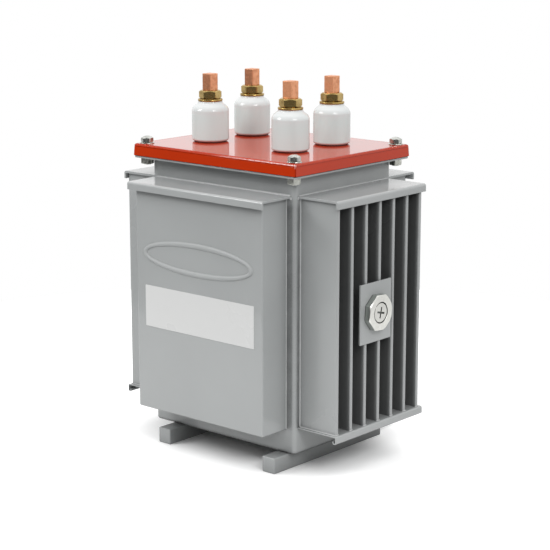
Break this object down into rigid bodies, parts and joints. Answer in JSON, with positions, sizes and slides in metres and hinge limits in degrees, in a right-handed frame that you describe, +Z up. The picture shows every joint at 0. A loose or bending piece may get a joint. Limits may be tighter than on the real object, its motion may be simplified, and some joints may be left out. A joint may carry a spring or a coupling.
{
  "type": "power transformer",
  "caption": "Small oil-filled power transformer: grey tank with closed side boxes and finned radiators, red pan lid and white bushings, on two skid bars.",
  "frame": {"origin": "on the floor, under the middle of the whole object's outline", "axes": "+Z up, the front box faces -Y, the radiator with the plug faces +X"},
  "size_m": [0.617, 0.5056, 0.798],
  "materials": {
    "grey_paint": "semi-gloss",
    "red_paint": "gloss",
    "white_porcelain": "glazed",
    "brass": "bright, a little tarnished",
    "copper": "bare copper, mottled",
    "zinc_steel": "zinc plated",
    "black_rubber": "matte"
  },
  "bodies": {
    "root": {"tank_shell": "grey_paint", "tank_floor": "grey_paint", "tank_flange": "grey_paint", "left_skid": "grey_paint", "right_skid": "grey_paint", "front_box": "grey_paint", "front_box_cap": "grey_paint", "back_box": "grey_paint", "back_box_cap": "grey_paint", "right_radiator_fins": "grey_paint", "right_radiator_cap": "grey_paint", "right_radiator_tray": "grey_paint", "left_radiator_fins": "grey_paint", "left_radiator_cap": "grey_paint", "left_radiator_tray": "grey_paint", "plug_plate": "grey_paint", "lid": "red_paint", "lid_bolts": "zinc_steel", "lid_washers": "zinc_steel", "lid_nuts": "zinc_steel", "plug_nut": "zinc_steel", "plug_disc": "zinc_steel", "lid_gasket": "black_rubber", "bushing_seals": "black_rubber", "front_left_bushing": "white_porcelain", "front_right_bushing": "white_porcelain", "back_left_bushing": "white_porcelain", "back_right_bushing": "white_porcelain", "front_left_washer": "brass", "front_right_washer": "brass", "back_left_washer": "brass", "back_right_washer": "brass", "front_left_nut": "brass", "front_right_nut": "brass", "back_left_nut": "brass", "back_right_nut": "brass", "front_left_terminal": "copper", "front_right_terminal": "copper", "back_left_terminal": "copper", "back_right_terminal": "copper"}
  },
  "joints": []
}
